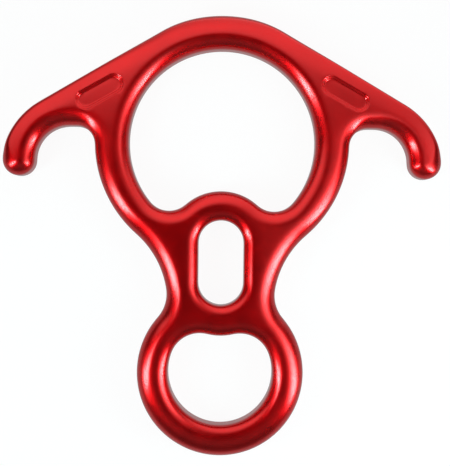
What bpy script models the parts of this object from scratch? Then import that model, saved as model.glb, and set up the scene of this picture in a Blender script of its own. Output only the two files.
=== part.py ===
# Figure eight descender with two ears, hot forged in one piece of aluminium.
# Lengths are in metres. It lies flat: X to the right, Y towards the large eye, Z is the thickness.
# The outline is a chain of arcs and lines that run tangent into each other.
import math
import bpy
import bmesh
from mathutils import Vector, geometry

# Plate
THICKNESS = 0.0140

# Large eye and the bar round it
EYE_WIDTH = 0.0652
EYE_SADDLE = 0.0157        # the web rises this far into the round eye
SADDLE_RADIUS = 0.0189
EYE_CORNER = 0.0088
TOP_BAR = 0.0118
ARCH_RADIUS = 0.0420
FLANK_BAR = 0.0118
FLANK_RADIUS = 0.0426

# Web with the slot
SADDLE_BAR = 0.0102
SLOT_WIDTH = 0.0159
SLOT_LENGTH = 0.0297
BRIDGE_BAR = 0.0106
NECK_WIDTH = 0.0379
NECK_RADIUS = 0.0322
THROAT_RADIUS = 0.0124

# Small eye and the bar round it
SMALL_EYE_WIDTH = 0.0365
SMALL_SADDLE = 0.0054      # the bridge bulges this far into the small eye
SMALL_SADDLE_RADIUS = 0.0195
SMALL_EYE_CORNER = 0.0106
SMALL_BAR = 0.0108

# Ears, each ending in a hook that opens downwards
SHOULDER_SLOPE = math.radians(30.6)
BAY_CEILING = 0.0055       # height of the bay's ceiling over the centre of the large eye
BAY_CORNER = 0.0066
BAY_FLAT = 0.0024
BAY_RADIUS = 0.0120
TIP_RADIUS = 0.0056
BEND_RADIUS = 0.0270

# Rounded edges, the same on both faces
EYE_EDGE = 0.0057
RING_EDGE = 0.0055         # outside of the neck and of the ring round the small eye
FLANK_EDGE = 0.0040        # top of the flank, under the ear
ARCH_EDGE = 0.0050
HOOK_EDGE = 0.0058
NOSE_EDGE = 0.0052
EAR_EDGE = 0.0014
SLOT_EDGE = 0.0036
SMALL_EYE_EDGE = 0.0040
NOSE_BLEND = 0.0050        # length along the bend where the nose's edge dies into the ear's
RISE_BLEND = 0.0260        # length along the shoulder where the ear's edge grows towards the arch

# Shallow marking pocket on the front of each ear, left bare
POCKET_LENGTH = 0.0186
POCKET_WIDTH = 0.0063
POCKET_DEPTH = 0.0006
POCKET_DRAFT = 0.0005      # the floor is this much smaller all round than the rim
POCKET_INSET = 0.0077      # from the shoulder's edge to the pocket's middle
POCKET_ALONG = 0.0282      # from the start of the straight shoulder, down towards the tip
POCKET_TWIST = math.radians(3.0)

# Finish
ANODISED_RED = (0.52, 0.010, 0.012, 1.0)

# Fineness of the facets
TURN_STEP = math.radians(9.0)
RUN_STEP = 0.0042
EDGE_STEPS = 5
EDGE_SHARE = 0.96          # two edges that face each other take at most this share of a bar


def unit(angle):
    return Vector((math.cos(angle), math.sin(angle)))


def heading(v):
    return math.atan2(v.y, v.x)


def meet(a, ra, b, rb, side):
    # Point at distance ra from a and rb from b, on the left (side 1) or right (-1) of a to b
    gap = b - a
    along = (ra * ra - rb * rb + gap.length_squared) / (2 * gap.length)
    across = math.sqrt(ra * ra - along * along)
    way = gap.normalized()
    return a + way * along + Vector((-way.y, way.x)) * (side * across)


def soften(t):
    return t * t * (3 - 2 * t)


def arc(centre, radius, start, end, edge_a, edge_b):
    # Points as (place, left-hand normal, edge radius). Radius above 0 turns left, below 0 right
    if radius > 0:
        while end < start:
            end += 2 * math.pi
    else:
        while end > start:
            end -= 2 * math.pi
    size = abs(radius)
    turn = abs(end - start)
    count = max(2, math.ceil(turn / TURN_STEP), math.ceil(turn * size / RUN_STEP))
    points = []
    for i in range(count + 1):
        t = i / count
        out = unit(start + (end - start) * t)
        left = -out if radius > 0 else out
        points.append((centre + out * size, left, edge_a + (edge_b - edge_a) * soften(t)))
    return points


def line(start, end, edge_a, edge_b):
    run = end - start
    way = run.normalized()
    left = Vector((-way.y, way.x))
    count = max(1, math.ceil(run.length / RUN_STEP)) if edge_a != edge_b else 1
    return [(start + run * (i / count), left, edge_a + (edge_b - edge_a) * soften(i / count))
            for i in range(count + 1)]


def close(parts):
    # Right half from the bottom centre to the top centre, mirrored to a closed loop
    half = [p for part in parts for p in part[:-1]] + [parts[-1][-1]]
    other = [(Vector((-p.x, p.y)), Vector((-n.x, n.y)), e) for p, n, e in reversed(half[1:-1])]
    return half + other


def flipped(loop):
    return [(p, -n, e) for p, n, e in loop]


# Heights, with the centre of the large eye at zero
eye = EYE_WIDTH / 2
small = SMALL_EYE_WIDTH / 2
saddle_top = EYE_SADDLE - eye
slot_top = saddle_top - SADDLE_BAR
slot_foot = slot_top - SLOT_LENGTH
small_roof = slot_foot - BRIDGE_BAR
small_mid = Vector((0, small_roof - small + SMALL_SADDLE))
foot = small + SMALL_BAR

# Edges shrink together where a bar is too thin for the two that face each other on it
neck_bar = (NECK_WIDTH - SLOT_WIDTH) / 2
facing = [
    (THICKNESS, max(EYE_EDGE, RING_EDGE, HOOK_EDGE) * 2),
    (TOP_BAR, EYE_EDGE + ARCH_EDGE),
    (FLANK_BAR, EYE_EDGE + RING_EDGE),
    (SADDLE_BAR, EYE_EDGE + SLOT_EDGE),
    (BRIDGE_BAR, SMALL_EYE_EDGE + SLOT_EDGE),
    (neck_bar, RING_EDGE + SLOT_EDGE),
    (SMALL_BAR, SMALL_EYE_EDGE + RING_EDGE),
    (TIP_RADIUS, NOSE_EDGE),
]
fit = min([1.0] + [EDGE_SHARE * bar / edges for bar, edges in facing])
eye_edge = EYE_EDGE * fit
ring_edge = RING_EDGE * fit
flank_edge = FLANK_EDGE * fit
arch_edge = ARCH_EDGE * fit
hook_edge = HOOK_EDGE * fit
nose_edge = NOSE_EDGE * fit
ear_edge = EAR_EDGE * fit
slot_edge = SLOT_EDGE * fit
small_edge = SMALL_EYE_EDGE * fit
shoulder_edge = (ear_edge + arch_edge) / 2

# Centres of the arcs on the right half
mid = Vector((0, 0))
flank = Vector((eye + FLANK_BAR - FLANK_RADIUS, 0))
arch = Vector((0, eye + TOP_BAR - ARCH_RADIUS))
throat_x = NECK_WIDTH / 2 + THROAT_RADIUS
throat_rise = math.sqrt((foot + THROAT_RADIUS) ** 2 - throat_x ** 2)
throat = Vector((throat_x, small_mid.y + throat_rise))
neck = meet(flank, FLANK_RADIUS + NECK_RADIUS, throat, NECK_RADIUS - THROAT_RADIUS, 1)
corner_y = BAY_CEILING - BAY_CORNER
corner = Vector((flank.x + math.sqrt((FLANK_RADIUS + BAY_CORNER) ** 2 - corner_y ** 2), corner_y))
bay = Vector((corner.x + BAY_FLAT, BAY_CEILING - BAY_RADIUS))
tip = Vector((bay.x + BAY_RADIUS + TIP_RADIUS, bay.y))
slope_out = Vector((math.sin(SHOULDER_SLOPE), math.cos(SHOULDER_SLOPE)))
slope_up = Vector((-slope_out.y, slope_out.x))
# The bend touches the shoulder and rolls round the tip from outside
hang = arch + slope_out * (ARCH_RADIUS - BEND_RADIUS)
back = tip - hang
down = -back.dot(slope_up)
off = back.dot(slope_out)
bend = hang - slope_up * (down - math.sqrt((BEND_RADIUS - TIP_RADIUS) ** 2 - off * off))

# Outer outline
nose_turn = NOSE_BLEND / BEND_RADIUS
nose_end = heading(tip - bend) + nose_turn
shoulder_foot = bend + slope_out * BEND_RADIUS
shoulder_head = arch + slope_out * ARCH_RADIUS
rise = shoulder_head - slope_up * RISE_BLEND
outer = close([
    arc(small_mid, foot, -math.pi / 2, heading(throat - small_mid), ring_edge, ring_edge),
    arc(throat, -THROAT_RADIUS, heading(small_mid - throat), heading(throat - neck),
        ring_edge, ring_edge),
    arc(neck, -NECK_RADIUS, heading(throat - neck), heading(flank - neck), ring_edge, ring_edge),
    arc(flank, FLANK_RADIUS, heading(neck - flank), heading(corner - flank),
        ring_edge, flank_edge),
    arc(corner, -BAY_CORNER, heading(flank - corner), math.pi / 2, flank_edge, hook_edge),
    line(corner + Vector((0, BAY_CORNER)), bay + Vector((0, BAY_RADIUS)), hook_edge, hook_edge),
    arc(bay, -BAY_RADIUS, math.pi / 2, 0, hook_edge, nose_edge),
    arc(tip, TIP_RADIUS, math.pi, heading(tip - bend), nose_edge, nose_edge),
    arc(bend, BEND_RADIUS, heading(tip - bend), nose_end, nose_edge, ear_edge),
    arc(bend, BEND_RADIUS, nose_end, heading(slope_out), ear_edge, ear_edge),
    line(shoulder_foot, rise, ear_edge, ear_edge),
    line(rise, shoulder_head, ear_edge, shoulder_edge),
    arc(arch, ARCH_RADIUS, heading(slope_out), math.pi / 2, shoulder_edge, arch_edge),
])

# Large eye: a circle with the web's saddle rising into it between two round corners
saddle = Vector((0, saddle_top - SADDLE_RADIUS))
eye_corner = meet(saddle, SADDLE_RADIUS + EYE_CORNER, mid, eye - EYE_CORNER, -1)
large_eye = flipped(close([
    arc(saddle, -SADDLE_RADIUS, math.pi / 2, heading(eye_corner - saddle), eye_edge, eye_edge),
    arc(eye_corner, EYE_CORNER, heading(saddle - eye_corner), heading(eye_corner - mid),
        eye_edge, eye_edge),
    arc(mid, eye, heading(eye_corner - mid), math.pi / 2, eye_edge, eye_edge),
]))

# Slot with round ends
slot_r = SLOT_WIDTH / 2
slot_low = Vector((0, slot_foot + slot_r))
slot_high = Vector((0, slot_top - slot_r))
side = Vector((slot_r, 0))
slot = flipped(close([
    arc(slot_low, slot_r, -math.pi / 2, 0, slot_edge, slot_edge),
    line(slot_low + side, slot_high + side, slot_edge, slot_edge),
    arc(slot_high, slot_r, 0, math.pi / 2, slot_edge, slot_edge),
]))

# Small eye: a circle with the bridge bulging into its top
bulge = Vector((0, small_roof + SMALL_SADDLE_RADIUS))
small_corner = meet(small_mid, small - SMALL_EYE_CORNER,
                    bulge, SMALL_SADDLE_RADIUS + SMALL_EYE_CORNER, -1)
small_eye = flipped(close([
    arc(small_mid, small, -math.pi / 2, heading(small_corner - small_mid),
        small_edge, small_edge),
    arc(small_corner, SMALL_EYE_CORNER, heading(small_corner - small_mid),
        heading(bulge - small_corner), small_edge, small_edge),
    arc(bulge, -SMALL_SADDLE_RADIUS, heading(small_corner - bulge), -math.pi / 2,
        small_edge, small_edge),
]))

# The middle of the outline's box goes to the origin
shift = Vector((0, -(eye + TOP_BAR + small_mid.y - foot) / 2))


def sweep_edge(bm, loop):
    # Rings of a wall with a quarter round on each edge. Returns the rings from bottom to top
    rings = []
    quarter = [i / EDGE_STEPS * math.pi / 2 for i in range(EDGE_STEPS + 1)]
    steps = [(1 - math.sin(a), 1 - math.cos(a), False) for a in quarter]
    steps += [(1 - math.cos(a), 1 - math.sin(a), True) for a in quarter]
    for inward, level, top in steps:
        ring = []
        for place, left, edge in loop:
            at = place + left * (edge * inward) + shift
            z = THICKNESS - edge * level if top else edge * level
            ring.append(bm.verts.new((at.x, at.y, z)))
        rings.append(ring)
    for low, high in zip(rings, rings[1:]):
        for i in range(len(low)):
            j = (i + 1) % len(low)
            bm.faces.new((low[i], low[j], high[j], high[i]))
    return rings


def cap(bm, rings):
    # Flat face inside the first ring, with the other rings as holes
    verts = [v for ring in rings for v in ring]
    for tri in geometry.tessellate_polygon([[v.co for v in ring] for ring in rings]):
        bm.faces.new([verts[i] for i in tri])


def new_collection(name):
    made = bpy.data.collections.new(name)
    bpy.context.scene.collection.children.link(made)
    return made


def new_object(name, bm, home):
    bmesh.ops.recalc_face_normals(bm, faces=bm.faces)
    mesh = bpy.data.meshes.new(name)
    bm.to_mesh(mesh)
    bm.free()
    made = bpy.data.objects.new(name, mesh)
    home.objects.link(made)
    return made


for old in list(bpy.data.objects):
    bpy.data.objects.remove(old, do_unlink=True)

parts = new_collection("figure_eight_descender")
cutters = new_collection("cutters")

# The forging: both faces flat, every edge rounded, the radius changing along the ears
bm = bmesh.new()
swept = [sweep_edge(bm, loop) for loop in (outer, large_eye, slot, small_eye)]
cap(bm, [rings[0] for rings in swept])
cap(bm, [rings[-1] for rings in swept])
descender = new_object("descender", bm, parts)


def pocket_ring(bm, middle, way, length, width, z):
    # Long hole with round ends, as one ring of points
    end_r = width / 2
    reach = length / 2 - end_r
    across = Vector((-way.y, way.x))
    count = 8
    ring = []
    for turn, face in ((0, 1), (math.pi, -1)):
        for i in range(count + 1):
            a = turn - math.pi / 2 + i / count * math.pi
            at = middle + way * (reach * face) + way * (end_r * math.cos(a)) \
                + across * (end_r * math.sin(a))
            ring.append(bm.verts.new((at.x, at.y, z)))
    return ring


# Each pocket's cutter is a drafted loft that stands proud of the front
for name, sign in (("pocket_right", 1), ("pocket_left", -1)):
    middle = shoulder_head - slope_up * POCKET_ALONG - slope_out * POCKET_INSET + shift
    tilt = heading(slope_up) + POCKET_TWIST
    way = unit(tilt)
    middle.x *= sign
    way.x *= sign
    bm = bmesh.new()
    grow = POCKET_DRAFT
    low = pocket_ring(bm, middle, way, POCKET_LENGTH - 2 * grow, POCKET_WIDTH - 2 * grow,
                      THICKNESS - POCKET_DEPTH)
    high = pocket_ring(bm, middle, way, POCKET_LENGTH + 2 * grow, POCKET_WIDTH + 2 * grow,
                       THICKNESS + POCKET_DEPTH)
    for i in range(len(low)):
        j = (i + 1) % len(low)
        bm.faces.new((low[i], low[j], high[j], high[i]))
    bm.faces.new(low)
    bm.faces.new(high)
    cutter = new_object(name, bm, cutters)
    cutter.hide_render = True
    cutter.display_type = "WIRE"
    cut = descender.modifiers.new(name, "BOOLEAN")
    cut.operation = "DIFFERENCE"
    cut.solver = "EXACT"
    cut.object = cutter

# Red anodised aluminium, polished before the dye
metal = bpy.data.materials.new("red_anodised_aluminium")
metal.use_nodes = True
shader = metal.node_tree.nodes["Principled BSDF"]
shader.inputs["Base Color"].default_value = ANODISED_RED
shader.inputs["Metallic"].default_value = 1.0
shader.inputs["Roughness"].default_value = 0.28
descender.data.materials.append(metal)
descender.data.shade_smooth()
descender.data.set_sharp_from_angle(angle=math.radians(35))
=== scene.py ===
# Figure eight descender with ears: the looks round its CAD part.
# X runs to the right-hand ear, Y to the large eye, Z out of the front face.
import math

import bpy
import numpy as np
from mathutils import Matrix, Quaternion, Vector, geometry


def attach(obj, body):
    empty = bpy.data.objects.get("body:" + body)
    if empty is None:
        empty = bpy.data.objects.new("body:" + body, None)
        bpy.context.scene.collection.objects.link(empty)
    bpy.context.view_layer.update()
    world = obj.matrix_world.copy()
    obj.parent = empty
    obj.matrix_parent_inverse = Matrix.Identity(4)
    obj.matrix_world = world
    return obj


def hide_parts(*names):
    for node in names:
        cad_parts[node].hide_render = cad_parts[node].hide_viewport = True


mm = 0.001

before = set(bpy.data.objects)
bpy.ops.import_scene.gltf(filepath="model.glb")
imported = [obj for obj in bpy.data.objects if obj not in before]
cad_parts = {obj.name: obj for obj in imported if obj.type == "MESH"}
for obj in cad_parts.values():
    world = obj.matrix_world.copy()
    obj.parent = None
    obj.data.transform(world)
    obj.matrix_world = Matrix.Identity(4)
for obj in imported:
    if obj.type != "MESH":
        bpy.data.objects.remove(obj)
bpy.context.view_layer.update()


# The forging

forging = {                      # millimetres and degrees
    "thickness": 14.0,
    "eyeWidth": 65.2,
    "eyeSaddle": 15.7,           # the web rises this far into the round eye
    "saddleRadius": 18.9,
    "eyeCorner": 8.8,
    "topBar": 11.8,
    "archRadius": 42.0,
    "flankBar": 11.8,
    "flankRadius": 42.6,
    "saddleBar": 10.2,
    "slotWidth": 15.9,
    "slotLength": 29.7,
    "bridgeBar": 10.6,
    "neckWidth": 37.9,
    "neckRadius": 32.2,
    "throatRadius": 12.4,
    "smallEyeWidth": 36.5,
    "smallSaddle": 5.4,          # the bridge bulges this far into the small eye
    "smallSaddleRadius": 19.5,
    "smallEyeCorner": 10.6,
    "smallBar": 10.8,
    "shoulderSlope": 30.6,
    "bayCeiling": 5.5,           # over the centre of the large eye
    "bayCorner": 6.6,
    "bayFlat": 2.4,
    "bayRadius": 12.0,
    "tipRadius": 5.6,
    "bendRadius": 27.0,

    "edges": {                   # how far each rounded edge reaches in from the outline
        "eye": 5.75,
        "ring": 5.9,
        "flank": 4.3,
        "arch": 5.6,
        "hook": 6.5,
        "nose": 5.2,
        "ear": 1.6,
        "shoulder": 3.3,
        "slot": 4.0,
        "smallEye": 4.6,
        "noseBlend": 5.0,        # run of the bend where the nose's edge dies into the ear's
        "riseBlend": 26.0,       # run of the shoulder where the ear's edge grows to the arch's
        "sink": 0.85,            # depth of a rounded edge over its reach
        "fullness": 2.2,         # 2 is a true quarter round, more is squarer with softer ends
        "strip": 0.35,           # width of face kept between two rounded edges
        "ease": 1.1,             # how far arcs are eased into each other
    },
    "crown": {                   # how each face swells from its edges
        "reach": 7.0,            # how far in from the outline it keeps rising
        "outer": 0.78,           # by how much, along the outside
        "inner": 0.31,           # and along the eyes and the slot
    },
    "pocket": {                  # a shallow recess on the front of each ear
        "length": 18.4,
        "width": 7.3,
        "depth": 1.0,
        "lip": 0.4,              # radius of the soft rim
        "lipTurn": 0.85,         # share of a quarter round that the rim turns through
        "draft": 0.55,           # slant of the wall
        "fillet": 0.5,           # round at the foot of the wall
        "inset": 7.76,           # from the shoulder's edge to the pocket's middle
        "along": 29.2,           # down the shoulder from where it turns straight
        "twist": 1.0,
    },
    "mesh": {                    # how fine the facets are
        "drawn": 0.1,            # spacing of the points that lines and arcs are drawn with
        "least": 8,              # points on a short line or arc
        "run": 0.8,              # facets along the outline
        "face": 0.9,             # grid on the faces
        "gridGap": 0.6,          # share of that grid's step that it keeps clear of the rims
        "depthSteps": 14,        # facets on one quarter round
        "wallSteps": 3,
        "fadeSteps": 4,          # outline points over which a cut in an edge's reach fades
        "pocketSteps": 72,       # facets round a pocket
        "lipSteps": 6,
        "pocketWallSteps": 4,
        "filletSteps": 5,
    },
}
edges, crown, pocket, mesh = (forging[part] for part in ("edges", "crown", "pocket", "mesh"))


def unit(angle):
    # (cos angle, sin angle)
    return np.array([math.cos(angle), math.sin(angle)])


def heading(v):
    # The angle of a direction
    return math.atan2(v[1], v[0])


def meet(a, ra, b, rb, side):
    # The point at ra from a and rb from b, on the left (1) or right (-1) of the way from a to b
    gap = b - a
    far = math.hypot(*gap)
    along = (ra * ra - rb * rb + far * far) / (2 * far)
    way = gap / far
    return a + way * along + np.array([-way[1], way[0]]) * (side * math.sqrt(ra * ra - along * along))


def soften(t):
    # 3t^2 - 2t^3, level at both ends
    return t * t * (3 - 2 * t)


def arc(centre, radius, start, end, edgeA, edgeB):
    # centre + |radius| (cos a, sin a), a from start to end: above 0 turns left, below 0 right
    turn = (end - start) % (2 * math.pi)
    if radius < 0:
        turn -= 2 * math.pi
    t = np.linspace(0, 1, max(mesh["least"], int(abs(turn * radius) / mesh["drawn"])))
    a = start + turn * t
    spots = centre + abs(radius) * np.stack([np.cos(a), np.sin(a)], 1)
    return spots, edgeA + (edgeB - edgeA) * soften(t)


def line(start, end, edgeA, edgeB):
    # start + (end - start) t
    t = np.linspace(0, 1, max(mesh["least"], int(math.hypot(*(end - start)) / mesh["drawn"])))
    return start + (end - start) * t[:, None], edgeA + (edgeB - edgeA) * soften(t)


def ring(parts):
    # Joins the right half, from the bottom centre to the top centre, and its mirror image
    spots = np.concatenate([p[:-1] for p, e in parts] + [parts[-1][0][-1:]])
    reach = np.concatenate([e[:-1] for p, e in parts] + [parts[-1][1][-1:]])
    spots = np.concatenate([spots, spots[-2:0:-1] * [-1, 1]])
    reach = np.concatenate([reach, reach[-2:0:-1]])
    return even(spots, reach)


def even(spots, reach):
    # Resamples a closed loop at equal runs, then eases it: a Gaussian mean, with its own pull
    # inwards taken off again, so that curvature flows from arc to arc and the size stays.
    # Returns the loop at the mesh's spacing, its edge's reach, and the loop at a fine spacing
    def resample(spots, reach, step):
        hop = np.hypot(*(np.roll(spots, -1, 0) - spots).T)
        run = np.concatenate([[0], np.cumsum(hop)])
        count = 2 * int(round(run[-1] / step / 2))
        at = np.arange(count) / count * run[-1]
        shut = np.concatenate([spots, spots[:1]])
        shutReach = np.concatenate([reach, reach[:1]])
        return (np.stack([np.interp(at, run, shut[:, 0]), np.interp(at, run, shut[:, 1])], 1),
                np.interp(at, run, shutReach))

    fine = mesh["drawn"]
    spots, reach = resample(spots, reach, fine)
    wave = np.fft.rfftfreq(len(spots), fine)

    def blur(values, width):
        soft = np.exp(-2 * (math.pi * wave * width) ** 2)
        spectrum = np.fft.rfft(values, axis=0)
        return np.fft.irfft(spectrum * (soft if values.ndim == 1 else soft[:, None]),
                            len(values), axis=0)

    eased = blur(spots, edges["ease"])
    eased += eased - blur(eased, edges["ease"])
    eased = resample(eased, blur(reach, 2 * edges["ease"]), 2 * fine)
    return (*resample(*eased, mesh["run"]), eased[0])


def leftOf(spots):
    # Left normal of a closed loop, from the chord between both neighbours
    chord = np.roll(spots, -1, 0) - np.roll(spots, 1, 0)
    chord /= np.hypot(*chord.T)[:, None]
    return np.stack([-chord[:, 1], chord[:, 0]], 1)


def outlines(f, e):
    # Heights are taken from the centre of the large eye, then moved so that the box is centred
    eye, small = f["eyeWidth"] / 2, f["smallEyeWidth"] / 2
    saddleTop = f["eyeSaddle"] - eye
    slotTop = saddleTop - f["saddleBar"]
    slotFoot = slotTop - f["slotLength"]
    smallRoof = slotFoot - f["bridgeBar"]
    smallMid = np.array([0, smallRoof - small + f["smallSaddle"]])
    foot = small + f["smallBar"]
    mid = np.zeros(2)
    down, up, right = -math.pi / 2, math.pi / 2, 0.0

    # Centres of the outside's arcs, and where the straight shoulder starts and ends
    flank = np.array([eye + f["flankBar"] - f["flankRadius"], 0])
    arch = np.array([0, eye + f["topBar"] - f["archRadius"]])
    throatX = f["neckWidth"] / 2 + f["throatRadius"]
    throatRise = math.sqrt((foot + f["throatRadius"]) ** 2 - throatX ** 2)
    throat = smallMid + [throatX, throatRise]
    neck = meet(flank, f["flankRadius"] + f["neckRadius"],
                throat, f["neckRadius"] - f["throatRadius"], 1)
    cornerY = f["bayCeiling"] - f["bayCorner"]
    corner = np.array([flank[0] + math.sqrt((f["flankRadius"] + f["bayCorner"]) ** 2
                                            - cornerY ** 2), cornerY])
    bay = np.array([corner[0] + f["bayFlat"], f["bayCeiling"] - f["bayRadius"]])
    tip = bay + [f["bayRadius"] + f["tipRadius"], 0]
    slope = math.radians(f["shoulderSlope"])
    slopeOut = np.array([math.sin(slope), math.cos(slope)])
    slopeUp = np.array([-slopeOut[1], slopeOut[0]])
    hang = arch + slopeOut * (f["archRadius"] - f["bendRadius"])
    back = tip - hang
    sink = math.sqrt((f["bendRadius"] - f["tipRadius"]) ** 2 - back.dot(slopeOut) ** 2)
    bend = hang - slopeUp * (-back.dot(slopeUp) - sink)
    shoulderFoot = bend + slopeOut * f["bendRadius"]
    shoulderHead = arch + slopeOut * f["archRadius"]
    rise = shoulderHead - slopeUp * e["riseBlend"]
    noseEnd = heading(tip - bend) + e["noseBlend"] / f["bendRadius"]

    # The outside, from the small ring's foot up the right side and round the hook to the arch
    outer = ring([
        arc(smallMid, foot, down, heading(throat - smallMid), e["ring"], e["ring"]),
        arc(throat, -f["throatRadius"], heading(smallMid - throat), heading(throat - neck),
            e["ring"], e["ring"]),
        arc(neck, -f["neckRadius"], heading(throat - neck), heading(flank - neck),
            e["ring"], e["ring"]),
        arc(flank, f["flankRadius"], heading(neck - flank), heading(corner - flank),
            e["ring"], e["flank"]),
        arc(corner, -f["bayCorner"], heading(flank - corner), up, e["flank"], e["hook"]),
        line(corner + [0, f["bayCorner"]], bay + [0, f["bayRadius"]], e["hook"], e["hook"]),
        arc(bay, -f["bayRadius"], up, right, e["hook"], e["nose"]),
        arc(tip, f["tipRadius"], math.pi, heading(tip - bend), e["nose"], e["nose"]),
        arc(bend, f["bendRadius"], heading(tip - bend), noseEnd, e["nose"], e["ear"]),
        arc(bend, f["bendRadius"], noseEnd, heading(slopeOut), e["ear"], e["ear"]),
        line(shoulderFoot, rise, e["ear"], e["ear"]),
        line(rise, shoulderHead, e["ear"], e["shoulder"]),
        arc(arch, f["archRadius"], heading(slopeOut), up, e["shoulder"], e["arch"]),
    ])

    # The large eye, from its saddle to its top
    saddle = np.array([0, saddleTop - f["saddleRadius"]])
    eyeCorner = meet(saddle, f["saddleRadius"] + f["eyeCorner"], mid, eye - f["eyeCorner"], -1)
    largeEye = ring([
        arc(saddle, -f["saddleRadius"], up, heading(eyeCorner - saddle), e["eye"], e["eye"]),
        arc(eyeCorner, f["eyeCorner"], heading(saddle - eyeCorner), heading(eyeCorner),
            e["eye"], e["eye"]),
        arc(mid, eye, heading(eyeCorner), up, e["eye"], e["eye"]),
    ])

    # The slot, from its foot to its top
    slotR = f["slotWidth"] / 2
    slotLow, slotHigh = np.array([0, slotFoot + slotR]), np.array([0, slotTop - slotR])
    slot = ring([
        arc(slotLow, slotR, down, right, e["slot"], e["slot"]),
        line(slotLow + [slotR, 0], slotHigh + [slotR, 0], e["slot"], e["slot"]),
        arc(slotHigh, slotR, right, up, e["slot"], e["slot"]),
    ])

    # The small eye, from its foot to the bridge's bulge
    bulge = np.array([0, smallRoof + f["smallSaddleRadius"]])
    smallCorner = meet(smallMid, small - f["smallEyeCorner"],
                       bulge, f["smallSaddleRadius"] + f["smallEyeCorner"], -1)
    smallEye = ring([
        arc(smallMid, small, down, heading(smallCorner - smallMid), e["smallEye"], e["smallEye"]),
        arc(smallCorner, f["smallEyeCorner"], heading(smallCorner - smallMid),
            heading(bulge - smallCorner), e["smallEye"], e["smallEye"]),
        arc(bulge, -f["smallSaddleRadius"], heading(smallCorner - bulge), down,
            e["smallEye"], e["smallEye"]),
    ])

    shift = np.array([0, -(eye + f["topBar"] + smallMid[1] - foot) / 2])
    loops = [(outer, 1), (largeEye, -1), (slot, -1), (smallEye, -1)]
    ear = {"head": shoulderHead + shift, "out": slopeOut, "up": slopeUp}
    return [(spots + shift, reach, leftOf(spots) * side, fine + shift)
            for (spots, reach, fine), side in loops], ear


def pocketRings(p, ear, side, top):
    # Obrounds inside each other, each drawn in and sunk by a profile: a rounded lip, a slanted
    # wall and a rounded foot. Side is 1 on the right ear and -1 on the left
    quarter = math.pi / 2
    lipRun = np.linspace(0, quarter * p["lipTurn"], mesh["lipSteps"])
    # The wall starts a little way along and down from the lip, and the foot a little way round
    alongStart, downStart, roundStart = 0.2, 0.25, 0.3
    slant = np.linspace(alongStart, 1, mesh["pocketWallSteps"])
    drop = np.linspace(downStart, 1, mesh["pocketWallSteps"])
    footRun = np.linspace(roundStart, 1, mesh["filletSteps"]) * quarter
    into = np.concatenate([
        p["lip"] * np.sin(lipRun),
        p["lip"] + p["draft"] * slant,
        p["lip"] + p["draft"] + p["fillet"] * (1 - np.cos(footRun))])
    sunk = np.concatenate([
        p["lip"] * (1 - np.cos(lipRun)),
        p["lip"] + (p["depth"] - p["lip"] - p["fillet"]) * drop,
        p["depth"] - p["fillet"] * (1 - np.sin(footRun))])
    a = np.arange(mesh["pocketSteps"]) / mesh["pocketSteps"] * 2 * math.pi
    reach = (p["length"] - p["width"]) / 2
    half = p["width"] / 2
    x = np.where(np.cos(a) >= 0, reach, -reach)[None] + (half - into)[:, None] * np.cos(a)[None]
    y = (half - into)[:, None] * np.sin(a)[None]
    middle = ear["head"] - ear["up"] * p["along"] - ear["out"] * p["inset"]
    way = unit(heading(ear["up"]) + math.radians(p["twist"]))
    across = np.array([-way[1], way[0]])
    spots = middle + x[..., None] * way + y[..., None] * across
    spots[..., 0] *= side
    heights = np.broadcast_to((top - sunk)[:, None, None], (*x.shape, 1))
    rings = np.concatenate([spots, heights], 2)
    return rings if side > 0 else rings[:, ::-1]


def sweep(spots, reach, left, thickness):
    # Section from the bottom flat round the wall to the top flat: a superellipse quarter
    # |u|^n + |v|^n = 1 of the edge's reach below and above, and a straight wall between
    power = 2 / edges["fullness"]
    a = np.linspace(0, math.pi / 2, mesh["depthSteps"] + 1)
    u, v = 1 - np.sin(a) ** power, 1 - np.cos(a) ** power
    wall = np.linspace(0, 1, mesh["wallSteps"] + 2)[1:-1]
    low = edges["sink"] * reach[None]
    heights = np.concatenate([v[:, None] * low, low + wall[:, None] * (thickness - 2 * low),
                              thickness - v[::-1, None] * low])
    inward = np.concatenate([u, np.zeros(len(wall)), u[::-1]])[:, None] * reach[None]
    flat = spots[None] + left[None] * inward[..., None]
    return np.concatenate([flat, heights[..., None]], 2)


def weave(rows, columns, base, flip):
    # Quads of a grid that is closed along its columns
    i = np.arange(rows - 1)[:, None] * columns
    j = np.arange(columns)[None]
    k = (j + 1) % columns
    quads = np.stack([i + j, i + k, i + columns + k, i + columns + j], 2).reshape(-1, 4) + base
    return quads[:, ::-1] if flip else quads


def farFrom(places, outline):
    # Distance to the nearest point of an outline, in slices to spare memory
    sliceSize = 500
    return np.concatenate([
        np.sqrt(((part[:, None] - outline[None]) ** 2).sum(2).min(1))
        for part in np.array_split(places, max(1, len(places) // sliceSize))])


def around(values, steps):
    # A closed row of values, moved by every number of places up to steps either way
    return [np.roll(values, k) for k in range(-steps, steps + 1)]


def makeRoom(loops, hollows):
    # Cuts an edge's reach where it would meet the next outline's edge or a pocket, so that a
    # strip of face stays between them. The cut is the largest over the neighbours, averaged
    # twice, so that it comes and goes gently
    made = []
    for spots, reach, left, fine in loops:
        room = np.min([farFrom(spots, hollow) for hollow in hollows], 0) - edges["strip"]
        for far, farReach in [loop[:2] for loop in loops]:
            if far is not spots:
                gaps = np.sqrt(((spots[:, None] - far[None]) ** 2).sum(2))
                share = reach / (reach + farReach[gaps.argmin(1)])
                room = np.minimum(room, share * (gaps.min(1) - edges["strip"]))
        cut = np.max(around(np.maximum(reach - room, 0), 2 * mesh["fadeSteps"]), 0)
        for again in range(2):
            cut = np.mean(around(cut, mesh["fadeSteps"]), 0)
        made.append((spots, reach - cut, left, fine))
    return made


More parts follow.
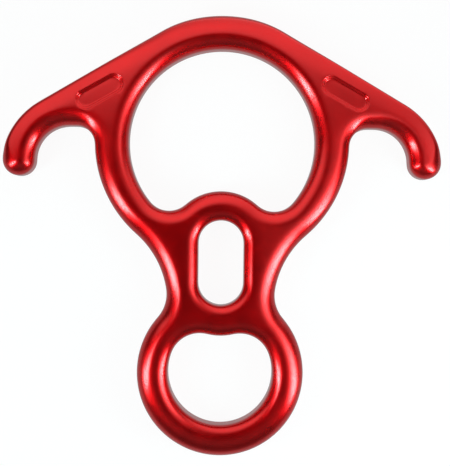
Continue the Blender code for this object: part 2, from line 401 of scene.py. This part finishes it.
def withinRims(places, rims):
    # Even-odd rule: a point is inside where a line to its right crosses the rims an odd number
    # of times
    tiny = 1e-9                  # stands for the height of a level side, which no line crosses
    crossings = np.zeros(len(places), int)
    for rim in rims:
        a, b = rim, np.roll(rim, -1, 0)
        x, y = places[:, 0, None], places[:, 1, None]
        spans = (a[:, 1] > y) != (b[:, 1] > y)
        rise = np.where(a[:, 1] == b[:, 1], tiny, b[:, 1] - a[:, 1])
        crossings += (spans & (x < a[:, 0] + (y - a[:, 1]) / rise * (b[:, 0] - a[:, 0]))).sum(1)
    return crossings % 2 == 1


def crowned(places, loops):
    # Heights shrink towards the mid-plane by the sum over the outlines of
    # rise (1 - distance / reach)^2, so each face swells gently from its edges
    half = forging["thickness"] / 2
    drop = np.zeros(len(places))
    for index, loop in enumerate(loops):
        rise = crown["inner"] if index else crown["outer"]
        near = np.clip(1 - farFrom(places[:, :2], loop[3]) / crown["reach"], 0, 1)
        drop += rise * near ** 2
    places[:, 2] = half + (places[:, 2] - half) * (1 - drop / half)
    return places


def faceGrid(rims, height):
    # Triangles of one flat face: its rims and a square grid of points between them
    step = mesh["face"]
    tolerance = 1e-6             # points nearer than this are one point
    low, high = rims[0].min(0), rims[0].max(0)
    x, y = np.meshgrid(np.arange(low[0], high[0], step), np.arange(low[1], high[1], step))
    grid = np.stack([x.ravel(), y.ravel()], 1)
    grid = grid[withinRims(grid, rims)]
    grid = grid[np.min([farFrom(grid, rim) for rim in rims], 0) > mesh["gridGap"] * step]
    flat = np.concatenate([*rims, grid])
    seams, base = [], 0
    for rim in rims:
        at = base + np.arange(len(rim))
        seams += np.stack([at, np.roll(at, -1)], 1).tolist()
        base += len(rim)
    spots = [Vector(spot) for spot in flat.tolist()]
    made = geometry.delaunay_2d_cdt(spots, seams, [], 0, tolerance)
    # made[2] is the triangles, and made[3] the points given that each of its points stands for
    origin = np.array([first[0] for first in made[3]])
    tris = origin[np.array(made[2])]
    tris = tris[withinRims(flat[tris].mean(1), rims)]
    return tris, np.concatenate([grid, np.full((len(grid), 1), height)], 1)


def buildForging():
    # Each outline's swept edge and each pocket's rings, joined by the flat faces between their
    # rims: the bottom, the top and the two pocket floors
    loops, ear = outlines(forging, edges)
    top = forging["thickness"]
    hollows = [pocketRings(pocket, ear, side, top) for side in (1, -1)]
    loops = makeRoom(loops, [rings[0, :, :2] for rings in hollows])
    places, faces, lowRims, highRims, base = [], [], [], [], 0
    # How deep in a rounded edge each row of points lies, for the polish: sin^2, which is 0 where
    # the round starts and ends and 1 in its middle
    crest = np.sin(np.linspace(0, math.pi, mesh["depthSteps"] + 1)) ** 2
    profile = np.concatenate([crest, np.zeros(mesh["wallSteps"]), crest])
    bends = []
    for index, (spots, reach, left) in enumerate([loop[:3] for loop in loops]):
        grid = sweep(spots, reach, left, top)
        rows, columns = grid.shape[:2]
        places.append(grid.reshape(-1, 3))
        bends.append(np.repeat(profile, columns))
        faces.append(weave(rows, columns, base, index > 0))
        lowRims.append(base + np.arange(columns))
        highRims.append(base + (rows - 1) * columns + np.arange(columns))
        base += rows * columns
    bends = np.concatenate(bends)
    floors = []
    for grid in hollows:
        rows, columns = grid.shape[:2]
        places.append(grid.reshape(-1, 3))
        faces.append(weave(rows, columns, base, False))
        highRims.append(base + np.arange(columns))
        floors.append(base + (rows - 1) * columns + np.arange(columns))
        base += rows * columns

    for rims, flip in ((lowRims, True), (highRims, False), ([floors[0]], False),
                       ([floors[1]], False)):
        known = np.concatenate(places)
        tris, grid = faceGrid([known[rim, :2] for rim in rims], known[rims[0][0], 2])
        index = np.concatenate([*rims, base + np.arange(len(grid))])
        tris = index[tris]
        faces.append(tris[:, ::-1] if flip else tris)
        places.append(grid)
        base += len(grid)

    places = crowned(np.concatenate(places), loops)
    shape = bpy.data.meshes.new("forging")
    shape.from_pydata(places * mm, [], [face for part in faces for face in part.tolist()])
    shape.shade_smooth()
    rounded = np.zeros(len(places), np.float32)
    rounded[:len(bends)] = bends
    shape.attributes.new("rounded", "FLOAT", "POINT").data.foreach_set("value", rounded)
    piece = bpy.data.objects.new("forging", shape)
    bpy.context.scene.collection.objects.link(piece)
    shape.calc_loop_triangles()
    print("forging:", len(shape.vertices), "vertices,", len(shape.loop_triangles), "triangles")
    return piece


# The finish

def linear(code):
    # sRGB hex to linear light: c / 12.92 up to 0.04045, ((c + 0.055) / 1.055) ^ 2.4 above
    c = np.array([int(code[n:n + 2], 16) for n in (1, 3, 5)]) / 255
    return (*np.where(c <= 0.04045, c / 12.92, ((c + 0.055) / 1.055) ** 2.4).tolist(), 1.0)


def node(tree, kind, values=None, links=None, **settings):
    # Adds a node: its settings, the values of its sockets, and what feeds them
    made = tree.nodes.new(kind)
    for name, value in settings.items():
        setattr(made, name, value)
    for name, value in (values or {}).items():
        made.inputs[name].default_value = value
    for name, source in (links or {}).items():
        tree.links.new(source, made.inputs[name])
    return made


def newMaterial(name):
    # A material with an empty node tree
    made = bpy.data.materials.new(name)
    made.use_nodes = True
    made.node_tree.nodes.clear()
    return made, made.node_tree


anodised = {                     # colours in sRGB, lengths in millimetres
    "red": "#F20A10",
    "deepRed": "#E60910",            # where the dye took a little more
    "dyeSpread": 14.0,
    "dyeDetail": 3.0,
    "roughness": 0.31,
    "polish": 0.03,                  # tumbling leaves the rounded edges smoother by this much
    "wear": 0.03,                    # roughness drifts by this much either way
    "wearSpread": 4.0,
    "wearDetail": 4.0,
    "grain": 0.35,                   # width of the satin grain, coarser than real so that it shows
    "grainDepth": 0.0003,
    "grainDetail": 2.0,
    "noiseLow": 0.3,                 # most of the noise lies between these two
    "noiseHigh": 0.7,
    "coat": 1.0,
    "coatRoughness": 0.08,
    "coatIor": 1.48,                 # sealed oxide film, lower than solid oxide as it is porous
}


def anodisedAluminium():
    # Hot forged aluminium, tumbled to a satin, then anodised and dyed: the metal under the film
    # gives broad red reflections, and the smooth clear film over it narrow white ones. Noise in
    # object space drifts the dye and the roughness, and a fine grain keeps highlights from
    # looking liquid
    made, tree = newMaterial("red_anodised_aluminium")
    spot = node(tree, "ShaderNodeTexCoord").outputs["Object"]

    def drift(width, detail):
        # Smooth noise whose blotches are this many millimetres wide
        return node(tree, "ShaderNodeTexNoise", {"Scale": 1 / (width * mm), "Detail": detail},
                    {"Vector": spot}).outputs["Fac"]

    noise = {"From Min": anodised["noiseLow"], "From Max": anodised["noiseHigh"]}
    dye = node(tree, "ShaderNodeMapRange", noise,
               {"Value": drift(anodised["dyeSpread"], anodised["dyeDetail"])})
    # Sockets 6 and 7 are the two colours of a colour mix, and output 2 is its result
    colour = node(tree, "ShaderNodeMix", {6: linear(anodised["red"]),
                                          7: linear(anodised["deepRed"])},
                  {"Factor": dye.outputs["Result"]}, data_type="RGBA")
    wear = node(tree, "ShaderNodeMapRange", {
        **noise, "To Min": anodised["roughness"] - anodised["wear"],
        "To Max": anodised["roughness"] + anodised["wear"]},
        {"Value": drift(anodised["wearSpread"], anodised["wearDetail"])})
    edge = node(tree, "ShaderNodeAttribute", attribute_name="rounded").outputs["Fac"]
    polish = node(tree, "ShaderNodeMath", {1: -anodised["polish"]},
                  {0: edge, 2: wear.outputs["Result"]}, operation="MULTIPLY_ADD")
    grain = node(tree, "ShaderNodeBump", {"Strength": 1.0, "Distance": anodised["grainDepth"] * mm},
                 {"Height": drift(anodised["grain"], anodised["grainDetail"])})
    shader = node(tree, "ShaderNodeBsdfPrincipled", {
        "Metallic": 1.0,
        "Coat Weight": anodised["coat"],
        "Coat Roughness": anodised["coatRoughness"],
        "Coat IOR": anodised["coatIor"],
    }, {"Base Color": colour.outputs[2], "Roughness": polish.outputs[0],
        "Normal": grain.outputs["Normal"]})
    node(tree, "ShaderNodeOutputMaterial", links={"Surface": shader.outputs["BSDF"]})
    print("finish:", made.name)
    return made


descender = buildForging()
descender.data.materials.append(anodisedAluminium())
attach(descender, "root")
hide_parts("descender")


# The studio

studio = {
    "camera": (1.35, 0.94, 397.0),   # millimetres
    "roll": 0.587,                   # degrees
    "viewHeight": 164.0,             # what the picture's height spans at the plate's mid-plane
    "sensorWidth": 36.0,             # millimetres
    "clip": (0.01, 20),              # metres
    "table": "#F4F4F4",
    "tableSize": 4.0,                # metres
    "tableDrop": 0.0004,             # gap under the forging, so that the two don't touch
    "tableGlow": 0.94,               # share of the table that is plain white, the rest takes shadow
    "mirroredTable": 0.38,           # how bright the metal sees the white table
    "room": 0.155,                   # glow of the room at the horizon
    "roomFade": 2.0,                 # how fast it dies out upwards
    "roomLean": -0.35,               # below 0 it is lighter towards the small eye's side
    "cool": "#CCF8FC",               # light of the side strips
    "warm": "#FFF4F2",               # light of the panels
    "sheet": 1.9,                    # a softbox's sheet over its half sizes, where its glow is faint
}


def buildCamera():
    # Looks straight down, with the lens that fits the view's height to the picture's
    data = bpy.data.cameras.new("camera")
    made = bpy.data.objects.new("camera", data)
    bpy.context.scene.collection.objects.link(made)
    x, y, z = studio["camera"]
    made.location = (x * mm, y * mm, z * mm)
    made.rotation_euler = (0, 0, math.radians(studio["roll"]))
    data.sensor_width = studio["sensorWidth"]
    data.lens = data.sensor_width * (z - forging["thickness"] / 2) / studio["viewHeight"]
    data.clip_start, data.clip_end = studio["clip"]
    bpy.context.scene.camera = made


softboxes = {
    # Its middle and what it faces (metres), its turn (radians), its half width and half height
    # (metres), its glow at the middle, and how square its glow is: 2 fades like a bell, 8 has a
    # firm edge. Each fill lies round its strip, so that the strip's light dies out softly
    "left": {"place": (-0.215, -0.084, 0.216), "faces": (0.30, -0.215, 0), "turn": 0.353,
             "half": (0.041, 0.106), "glow": 22.5, "square": 2.6, "light": "cool"},
    "right": {"place": (0.193, -0.101, 0.118), "faces": (0.07, -0.18, 0), "turn": -1.12,
              "half": (0.050, 0.100), "glow": 16.5, "square": 2.6, "light": "cool"},
    "top": {"place": (-0.067, 0.099, 0.125), "faces": (-0.12, -0.30, 0), "turn": 0.59,
            "half": (0.305, 0.094), "glow": 0.95, "square": 2.6, "light": "warm"},
    "ear": {"place": (0.215, 0.065, 0.250), "faces": (0.07, 0.03, 0), "turn": 0.0,
            "half": (0.075, 0.065), "glow": 0.8, "square": 2.4, "light": "warm"},
    "leftFill": {"place": (-0.215, -0.084, 0.216), "faces": (0.30, -0.215, 0), "turn": 0.353,
                 "half": (0.084, 0.165), "glow": 0.62, "square": 3.6, "light": "warm"},
    "rightFill": {"place": (0.193, -0.101, 0.118), "faces": (0.07, -0.18, 0), "turn": -1.12,
                  "half": (0.086, 0.180), "glow": 1.0, "square": 3.6, "light": "warm"},
    "low": {"place": (0.0, -0.205, 0.255), "faces": (0, -0.02, 0), "turn": 0.0,
            "half": (0.220, 0.13), "glow": 0.14, "square": 2.0, "light": "warm"},
}


def buildSoftbox(name, box):
    # A flat diffuser that glows with glow x exp(-|x / half width|^square - |y / half height|^square)
    made, tree = newMaterial("softbox_" + name)
    spot = node(tree, "ShaderNodeTexCoord").outputs["Object"]
    axes = node(tree, "ShaderNodeSeparateXYZ", links={0: spot})
    falls = []
    for axis, half in zip("XY", box["half"]):
        share = node(tree, "ShaderNodeMath", {1: half}, {0: axes.outputs[axis]}, operation="DIVIDE")
        size = node(tree, "ShaderNodeMath", links={0: share.outputs[0]}, operation="ABSOLUTE")
        falls.append(node(tree, "ShaderNodeMath", {1: box["square"]}, {0: size.outputs[0]},
                          operation="POWER"))
    both = node(tree, "ShaderNodeMath", links={0: falls[0].outputs[0], 1: falls[1].outputs[0]})
    away = node(tree, "ShaderNodeMath", {1: -1.0}, {0: both.outputs[0]}, operation="MULTIPLY")
    bell = node(tree, "ShaderNodeMath", links={0: away.outputs[0]}, operation="EXPONENT")
    # The bell is in the colour and the strength is a constant, which tells the light sampling how
    # strong each box is
    tint = node(tree, "ShaderNodeVectorMath", {0: linear(studio[box["light"]])[:3]},
                {"Scale": bell.outputs[0]}, operation="SCALE")
    light = node(tree, "ShaderNodeEmission", {"Strength": box["glow"]}, {"Color": tint.outputs[0]})
    clear = node(tree, "ShaderNodeBsdfTransparent", {"Color": (1, 1, 1, 1)})
    sheet = node(tree, "ShaderNodeAddShader", links={0: light.outputs[0], 1: clear.outputs[0]})
    node(tree, "ShaderNodeOutputMaterial", links={"Surface": sheet.outputs[0]})
    x, y = (half * studio["sheet"] for half in box["half"])
    shape = bpy.data.meshes.new("softbox_" + name)
    shape.from_pydata([(-x, -y, 0), (-x, y, 0), (x, y, 0), (x, -y, 0)], [], [(0, 1, 2, 3)])
    shape.materials.append(made)
    lamp = bpy.data.objects.new("softbox_" + name, shape)
    lamp.location = box["place"]
    face = (Vector(box["faces"]) - Vector(box["place"])).to_track_quat("-Z", "Y")
    lamp.rotation_mode = "QUATERNION"
    lamp.rotation_quaternion = face @ Quaternion((0, 0, 1), box["turn"])
    lamp.visible_camera = False
    lamp.visible_shadow = False
    bpy.context.scene.collection.objects.link(lamp)


def buildTable():
    # The camera sees it as plain white with a faint share of light and shadow, the metal sees it
    # dimmer, and every other ray meets white card
    made, tree = newMaterial("white_table")
    paths = node(tree, "ShaderNodeLightPath")
    bounced = node(tree, "ShaderNodeMath", operation="MAXIMUM", links={
        0: paths.outputs["Is Glossy Ray"], 1: paths.outputs["Is Transmission Ray"]})
    seen = node(tree, "ShaderNodeMath", operation="MAXIMUM", links={
        0: paths.outputs["Is Camera Ray"], 1: bounced.outputs[0]})
    bright = node(tree, "ShaderNodeMapRange", {"To Min": studio["mirroredTable"], "To Max": 1.0},
                  {"Value": paths.outputs["Is Camera Ray"]})
    matt = node(tree, "ShaderNodeBsdfDiffuse", {"Color": linear(studio["table"])})
    glow = node(tree, "ShaderNodeEmission", {"Color": (1, 1, 1, 1)},
                {"Strength": bright.outputs[0]})
    share = node(tree, "ShaderNodeMath", {1: studio["tableGlow"]}, {0: seen.outputs[0]},
                 operation="MULTIPLY")
    mix = node(tree, "ShaderNodeMixShader", links={
        "Fac": share.outputs[0], 1: matt.outputs[0], 2: glow.outputs[0]})
    node(tree, "ShaderNodeOutputMaterial", links={"Surface": mix.outputs[0]})
    half, z = studio["tableSize"] / 2, -studio["tableDrop"]
    shape = bpy.data.meshes.new("table")
    shape.from_pydata([(-half, -half, z), (half, -half, z), (half, half, z), (-half, half, z)],
                      [], [(0, 1, 2, 3)])
    shape.materials.append(made)
    table = bpy.data.objects.new("table", shape)
    bpy.context.scene.collection.objects.link(table)


def buildWorld():
    # The camera sees white. The metal sees a dim room that glows with
    # room x exp(-fade z) x (1 + lean y): lighter low down and towards the small eye
    world = bpy.data.worlds.new("studio")
    bpy.context.scene.world = world
    world.use_nodes = True
    tree = world.node_tree
    tree.nodes.clear()
    paths = node(tree, "ShaderNodeLightPath")
    way = node(tree, "ShaderNodeSeparateXYZ",
               links={0: node(tree, "ShaderNodeTexCoord").outputs["Generated"]})
    low = node(tree, "ShaderNodeMath", {1: -studio["roomFade"]}, {0: way.outputs["Z"]},
               operation="MULTIPLY")
    fade = node(tree, "ShaderNodeMath", links={0: low.outputs[0]}, operation="EXPONENT")
    lean = node(tree, "ShaderNodeMath", {1: studio["roomLean"], 2: 1.0}, {0: way.outputs["Y"]},
                operation="MULTIPLY_ADD")
    room = node(tree, "ShaderNodeMath", links={0: fade.outputs[0], 1: lean.outputs[0]},
                operation="MULTIPLY")
    room = node(tree, "ShaderNodeMath", {1: studio["room"]}, {0: room.outputs[0]},
                operation="MULTIPLY")
    dim = node(tree, "ShaderNodeBackground", {"Color": (1, 1, 1, 1)},
               {"Strength": room.outputs[0]})
    white = node(tree, "ShaderNodeBackground", {"Color": (1, 1, 1, 1), "Strength": 1.0})
    mix = node(tree, "ShaderNodeMixShader", links={
        "Fac": paths.outputs["Is Camera Ray"], 1: dim.outputs[0], 2: white.outputs[0]})
    node(tree, "ShaderNodeOutputWorld", links={"Surface": mix.outputs[0]})


buildCamera()
for name, box in softboxes.items():
    buildSoftbox(name, box)
buildTable()
buildWorld()
bpy.context.scene.view_settings.view_transform = "Standard"
print("studio built")
